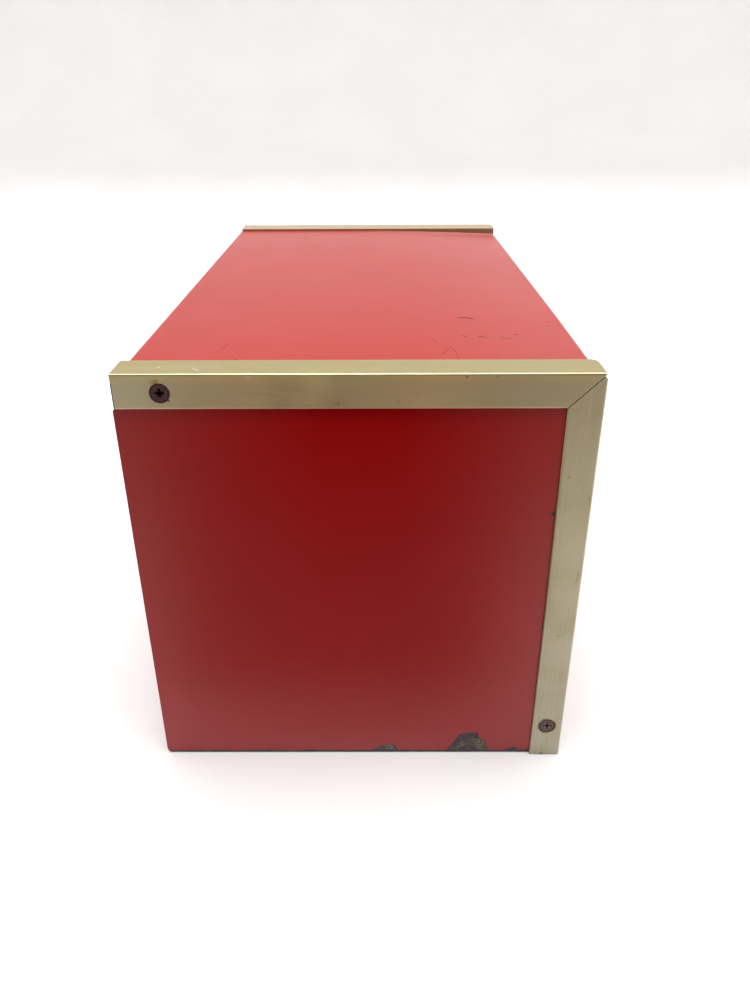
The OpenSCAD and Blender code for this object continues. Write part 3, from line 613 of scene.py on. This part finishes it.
def sunken_top(case_look, trim_look):
    """The case's sheet, sunk towards its far right corner, and the front trim's lip, bent down after it."""
    upper = CASE_HI.z - 30 * MM
    bends = [((x * MM, 0, 0), (1, 0, 0)) for x in range(10, 98, 8)]
    steps = list(range(-90, 166, 15)) + [166, 167.5, 168.3, 169.2, 170.0, 170.8, 171.7, 172.5]
    planes = [((0, y * MM, 0), (0, 1, 0)) for y in steps] + bends + [((0, 0, upper), (0, 0, 1))]

    def with_sheet(place):
        share = min(1.0, max(0.0, (place.z - upper) / (CASE_HI.z - 4 * MM - upper)))
        return share * sag(place.x, place.y)

    sunken_piece("body_wrapper", planes, with_sheet, 0.15 * MM, case_look)

    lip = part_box("front_top_trim")[0].y
    under = CASE_HI.z + 0.3 * MM

    def with_lip(place):
        return sag(place.x, lip) if place.y < lip + 0.4 * MM and place.z < under else 0.0

    sunken_piece("front_top_trim", [((0, lip + 1.2 * MM, 0), (0, 1, 0))] + bends, with_lip, 0.06 * MM, trim_look)


EDGE_ROUNDING = {"aged_screw": 0.06, "zinc_steel": 0.12, "lock_chrome": 0.12, "black_rubber": 0.2,
                 "red_paint": 0.2, "champagne_trim": 0.06}


def dress_box():
    """Gives every piece its material and its softened edges."""
    plain_red = red_enamel("red_enamel")
    # the door's darker reds are painted shade
    door_red = red_enamel("door_enamel", DOOR_REDS_SHADED, 1.55, chips=door_chips)
    top_red = red_enamel("case_enamel", marks_and_reflection=top_marks_and_reflection)
    trim_x = champagne("champagne_trim_x", 0)
    far_trim = champagne("front_trim_x", 0, shaded_tip=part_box("front_top_trim")[0].y)
    trim_z = champagne("front_trim_z", 2, UPRIGHT_SHADE_TONE)
    door_trim_x = champagne("door_trim_x", 0, stains_and_shade=screw_stains_and_shade)
    door_trim_z = champagne("door_trim_z", 2, UPRIGHT_SHADE_TONE, screw_stains_and_shade)
    by_slot = {
        "red_paint": plain_red,
        "aged_screw": aged_screw(),
        "zinc_steel": zinc(),
        "lock_chrome": lock_chrome(),
        "black_rubber": black_rubber(),
        "champagne_trim": trim_x,
    }
    by_node = {
        "door_panel": door_red,
        "front_side_trim": trim_z,
        "door_top_trim": door_trim_x,
        "door_side_trim": door_trim_z,
    }
    for node, obj in frame["nodes"].items():
        if node not in ("body_wrapper", "front_top_trim"):
            slot = SLOT_OF[node]
            soften(obj, EDGE_ROUNDING[slot] * MM, by_node.get(node, by_slot[slot]))
    sunken_top(top_red, far_trim)


# ---------- Studio ----------

CAMERA_PLACE = Vector((8.74, -501.6, 315.1)) * MM
CAMERA_DOWN = math.radians(27.58)
CAMERA_YAW = math.radians(0.313)
CAMERA_ROLL = math.radians(-0.25)
CAMERA_LENS = 29.28                     # on a picture 36 mm high


def set_camera():
    data = bpy.data.cameras.new("camera")
    data.sensor_fit = "AUTO"
    data.sensor_width = 36
    data.lens = CAMERA_LENS
    data.clip_start = 0.01
    camera = bpy.data.objects.new("camera", data)
    bpy.context.scene.collection.objects.link(camera)
    camera.matrix_world = (Matrix.Translation(CAMERA_PLACE) @ Matrix.Rotation(CAMERA_YAW, 4, "Z")
                           @ Matrix.Rotation(math.pi / 2 - CAMERA_DOWN, 4, "X")
                           @ Matrix.Rotation(CAMERA_ROLL, 4, "Z"))
    bpy.context.scene.camera = camera


def sheet_object(name, corners, material):
    mesh = bpy.data.meshes.new(name)
    mesh.from_pydata(corners, [], [range(len(corners))])
    obj = bpy.data.objects.new(name, mesh)
    bpy.context.scene.collection.objects.link(obj)
    paint(obj, material)
    return obj


def set_floor():
    """White table running on into a white backdrop, painted darker just above the table and lighter up the wall:
    painted shading of how the light falls on the sweep.
    """
    look = Look("white_sweep", Roughness=0.75)
    height = look.axis(look.place, "Z")
    tone = look.span(look.noise(5.0, 4.0, 0.6), 0.3, 0.7, 0.975, 1.015)
    # painted shading: darker just above the table, lighter up the wall
    low = look.span(height, 0.0, 0.10, 0.64, 0.535)
    shade = look.math("ADD", low, look.span(height, 0.10, 0.50, 0.0, 0.215, smooth=False))
    shade = look.math("MULTIPLY", shade, tone)
    look.drive("Base Color", look.node("CombineColor", {0: shade, 1: look.math("MULTIPLY", shade, 0.988),
                                                        2: look.math("MULTIPLY", shade, 0.994)}).outputs[0])
    bend_y, bend_r, reach, top = 1.4, 1.0, 5.0, 4.0
    profile = [(-5.0, 0.0)]
    for step in range(25):
        turn = math.pi / 2 * step / 24
        profile.append((bend_y + bend_r * math.sin(turn), bend_r * (1 - math.cos(turn))))
    profile.append((bend_y + bend_r, top))
    corners = [(x, y, z) for y, z in profile for x in (-reach, reach)]
    mesh = bpy.data.meshes.new("floor")
    faces = [(2 * i, 2 * i + 1, 2 * i + 3, 2 * i + 2) for i in range(len(profile) - 1)]
    mesh.from_pydata(corners, [], faces)
    for face in mesh.polygons:
        face.use_smooth = True
    floor = bpy.data.objects.new("floor", mesh)
    bpy.context.scene.collection.objects.link(floor)
    paint(floor, look.material)


def set_flags():
    """Dark cards in front of the door, where somebody taking the picture stands. They are never seen."""
    look = Look("flag_gloss", Roughness=1.0)
    y = look.axis(look.place, "Y")
    bearing = look.math("DIVIDE", look.axis(look.place, "X"), look.math("SUBTRACT", 0.13, y))
    offside = look.math("ABSOLUTE", look.math("ADD", bearing, 0.05))
    middle = look.span(offside, 0.16, 0.45, 1.0, 0.0)
    sides = look.math("MAXIMUM", middle, look.span(y, -0.6, -0.3, 0.85, 0.0))
    near = look.span(y, -0.255, -0.192, 0.92, 0.0, smooth=False)
    far = look.span(y, -0.50, -0.255, 0.08, 0.0, smooth=False)
    look.drive("Alpha", look.math("MULTIPLY", look.math("ADD", near, far), sides))
    shade = look.mix(middle, (0.18, 0.18, 0.18, 1.0), (0.42, 0.265, 0.175, 1.0))
    narrow = look.math("SUBTRACT", offside, look.span(y, -0.75, -0.58, 0.0, 0.07))
    look.drive("Base Color", look.mix(look.span(narrow, 0.07, 0.28, 1.0, 0.0), shade, (0.0, 0.0, 0.0, 1.0)))
    corners = [(-0.9, -2.4, 0.002), (0.9, -2.4, 0.002), (0.9, -0.188, 0.002), (-0.9, -0.188, 0.002)]
    gloss = sheet_object("flag_gloss", corners, look.material)
    gloss.visible_diffuse = False

    look = Look("flag_soft", Roughness=1.0)
    y = look.axis(look.place, "Y")
    look.drive("Alpha", look.span(y, -0.62, -0.36, 1.0, 0.0))
    look.drive("Base Color", (0.10, 0.06, 0.04, 1.0))
    corners = [(-0.8, -2.4, 0.003), (0.8, -2.4, 0.003), (0.8, -0.35, 0.003), (-0.8, -0.35, 0.003)]
    soft = sheet_object("flag_soft", corners, look.material)
    soft.visible_glossy = False
    for flag in (gloss, soft):
        flag.visible_camera = False
        flag.visible_shadow = False
        flag.visible_transmission = False


LOBE_TOWARDS = Vector((0.03, -0.075, 1.0)).normalized()
LOBE_LIGHT = 8.2
AMBIENT_BACK = 0.45
AMBIENT_FRONT = 0.05


def set_lights():
    """A big soft light overhead, pale surroundings behind and beside the box, darkness in front."""
    world = bpy.data.worlds.new("studio")
    world.use_nodes = True
    tree = world.node_tree

    def node(kind, inputs=(), **properties):
        made = tree.nodes.new("ShaderNode" + kind)
        for name, value in properties.items():
            setattr(made, name, value)
        for socket, value in dict(inputs).items():
            if isinstance(value, bpy.types.NodeSocket):
                tree.links.new(value, made.inputs[socket])
            else:
                made.inputs[socket].default_value = value
        return made

    def span(value, low, high, to_low, to_high):
        return node("MapRange", {"Value": value, "From Min": low, "From Max": high, "To Min": to_low,
                                 "To Max": to_high}, interpolation_type="SMOOTHSTEP").outputs["Result"]

    towards = node("TexCoord").outputs["Generated"]
    lobe = node("VectorMath", {0: towards, 1: tuple(LOBE_TOWARDS)}, operation="DOT_PRODUCT").outputs["Value"]
    overhead = span(lobe, 0.80, 0.97, 0.0, LOBE_LIGHT)
    side = node("SeparateXYZ", {0: towards}).outputs["Y"]
    around = span(side, -0.65, 0.1, AMBIENT_FRONT, AMBIENT_BACK)
    total = node("Math", {0: overhead, 1: around}, operation="ADD").outputs[0]
    light = node("Background", {"Color": (1.0, 0.985, 0.97, 1.0), "Strength": total})
    backdrop = tree.nodes["Background"]
    backdrop.inputs["Color"].default_value = (0.86, 0.85, 0.86, 1.0)
    choice = node("MixShader", {0: node("LightPath").outputs["Is Camera Ray"],
                                1: light.outputs[0], 2: backdrop.outputs[0]})
    tree.links.new(choice.outputs[0], tree.nodes["World Output"].inputs["Surface"])
    bpy.context.scene.world = world
    bpy.context.scene.view_settings.view_transform = "Standard"


dress_box()
set_camera()
set_floor()
set_flags()
set_lights()
